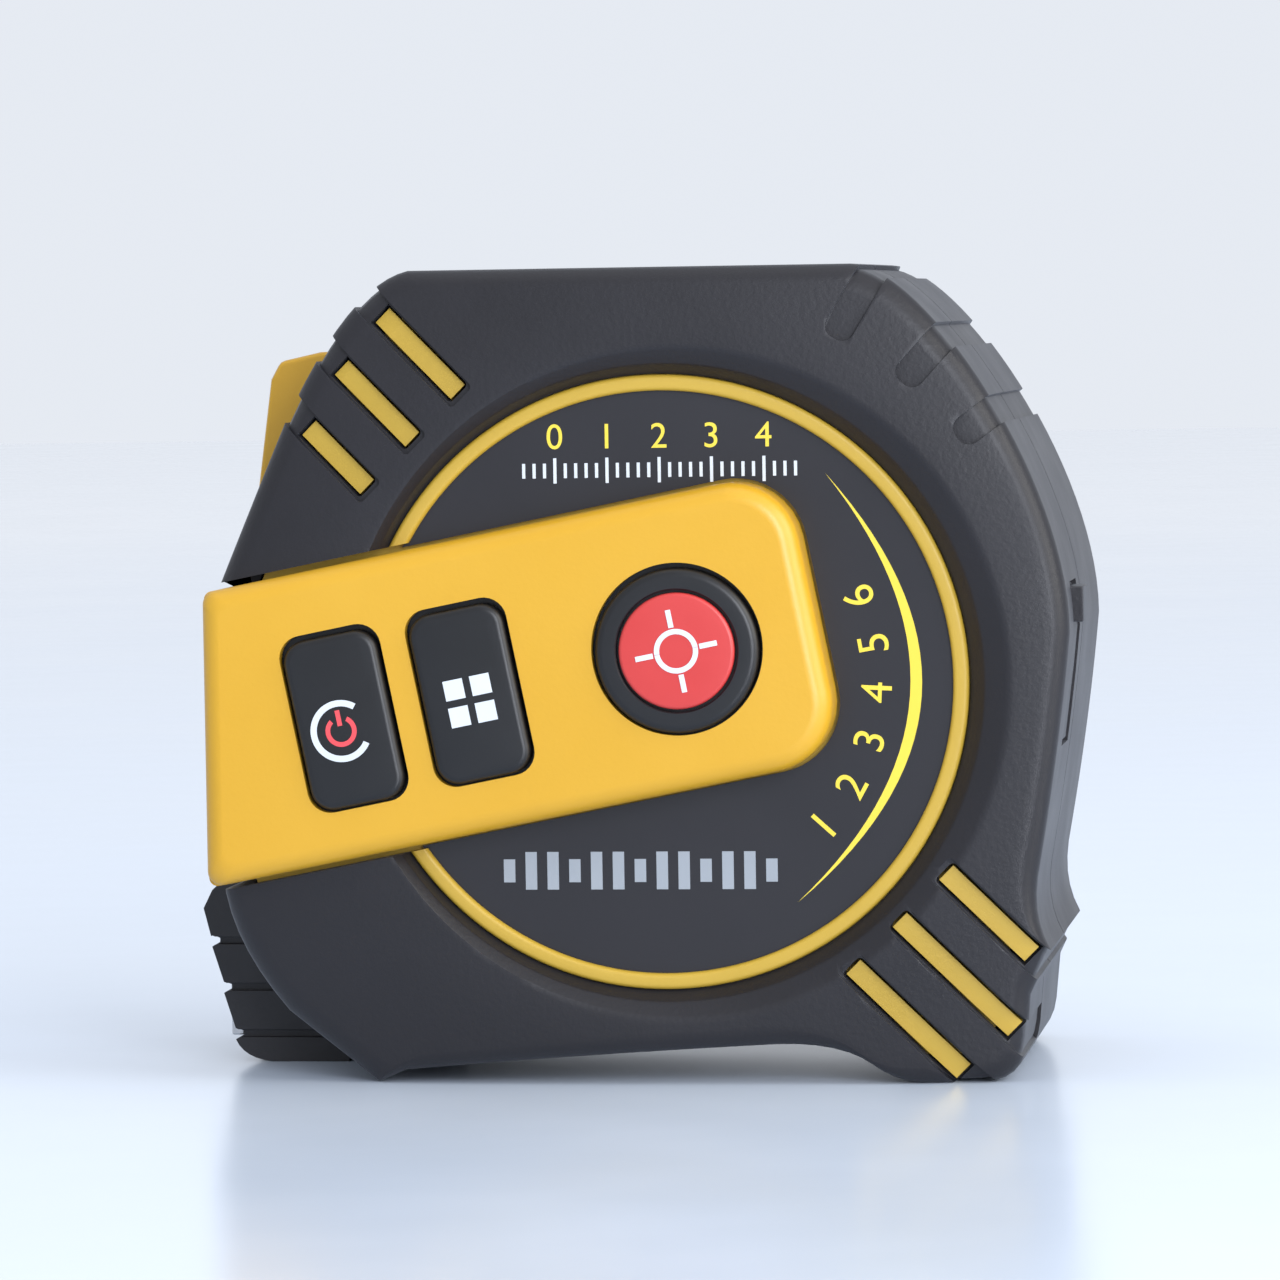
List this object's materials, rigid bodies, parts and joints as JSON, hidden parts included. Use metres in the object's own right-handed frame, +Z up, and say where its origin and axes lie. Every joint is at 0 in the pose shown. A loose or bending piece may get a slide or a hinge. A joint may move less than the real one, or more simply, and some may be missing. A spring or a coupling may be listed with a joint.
{
  "type": "laser distance meter",
  "caption": "Compact laser distance meter with a built-in steel tape: domed rubber-armoured case, raised key cover, round dial, ribbed nose with end hook, thumb lock and belt clip.",
  "frame": {"origin": "middle of the footprint, on the surface that the meter stands on", "axes": "+Z up, -X towards the laser window and the tape mouth, -Y towards the buttons, +Y towards the belt clip"},
  "size_m": [0.088, 0.0544, 0.0776],
  "materials": {
    "yellow_abs": "moulded ABS, satin",
    "grip_rubber": "soft matt rubber",
    "black_nylon": "moulded nylon, matt",
    "button_black": "moulded, satin",
    "button_red": "moulded, satin",
    "label_film": "printed polyester film",
    "optics": "clear, polished",
    "circuit_board": "solder mask",
    "brass": "turned",
    "silver_metal": "rolled",
    "steel": "nickel-plated",
    "tape_lacquer": "lacquered spring steel"
  },
  "bodies": {
    "case": {"control_shell": "yellow_abs", "tape_shell": "yellow_abs", "mid_frame": "black_nylon", "control_grip": "grip_rubber", "tape_grip": "grip_rubber", "nose_guard": "black_nylon", "control_cover": "yellow_abs", "dial_label": "label_film", "tape_side_label": "label_film", "front_window": "optics", "display_window": "optics", "lcd_module": "silver_metal", "power_switch": "button_black", "function_switch": "button_black", "measure_switch": "button_black", "key_board": "circuit_board", "main_board": "circuit_board", "flex_cable": "brass", "battery": "silver_metal", "usb_socket": "steel", "buzzer": "black_nylon", "laser_module": "black_nylon", "laser_barrel": "brass", "emitter_lens": "optics", "receiver_lens": "optics", "power_spring": "steel", "belt_clip": "steel", "clip_screw": "steel", "case_screw_1": "steel", "case_screw_2": "steel", "case_screw_3": "steel", "case_screw_4": "steel"},
    "power_key": {"power_button": "button_black"},
    "function_key": {"function_button": "button_black"},
    "measure_key": {"measure_button": "button_black", "measure_cap": "button_red"},
    "port_flap": {"port_cover": "grip_rubber"},
    "lock": {"lock_slider": "yellow_abs", "lock_arm": "black_nylon"},
    "drum": {"spool": "black_nylon", "tape_coil": "tape_lacquer"},
    "tape": {"tape_blade": "tape_lacquer", "hook_rivet_1": "steel", "hook_rivet_2": "steel"},
    "hook": {"end_hook": "steel"}
  },
  "joints": [
    {"name": "power_press", "type": "slide", "parent": "case", "child": "power_key", "axis": [0, 1, 0], "range_m": [0, 0.0006], "stiffness_N_per_m": 2000, "springref_m": -0.0003},
    {"name": "function_press", "type": "slide", "parent": "case", "child": "function_key", "axis": [0, 1, 0], "range_m": [0, 0.0006], "stiffness_N_per_m": 2000, "springref_m": -0.0003},
    {"name": "measure_press", "type": "slide", "parent": "case", "child": "measure_key", "axis": [0, 1, 0], "range_m": [0, 0.0006], "stiffness_N_per_m": 2000, "springref_m": -0.0003},
    {"name": "port_flap_open", "type": "hinge", "parent": "case", "child": "port_flap", "pos_m": [0.0421, -0.0125, 0.0319], "axis": [0, 1, 0], "range_deg": [0, 100]},
    {"name": "lock_slide", "type": "slide", "parent": "case", "child": "lock", "axis": [-0.3939, 0, -0.9191], "range_m": [0, 0.005]},
    {"name": "spool_spin", "type": "hinge", "parent": "case", "child": "drum", "pos_m": [0.003, 0.00622, 0.03629], "axis": [0, 1, 0], "range_deg": [0, 99], "stiffness_Nm_per_rad": 0.02, "springref_deg": -114.59},
    {"name": "tape_pull", "type": "slide", "parent": "case", "child": "tape", "axis": [-1, 0, 0], "range_m": [0, 0.04]},
    {"name": "hook_float", "type": "slide", "parent": "tape", "child": "hook", "axis": [1, 0, 0], "range_m": [-0.0004, 0.0004]}
  ],
  "couplings": [
    {"joint": "tape_pull", "follows": "spool_spin", "m_per_rad": 0.02299}
  ]
}
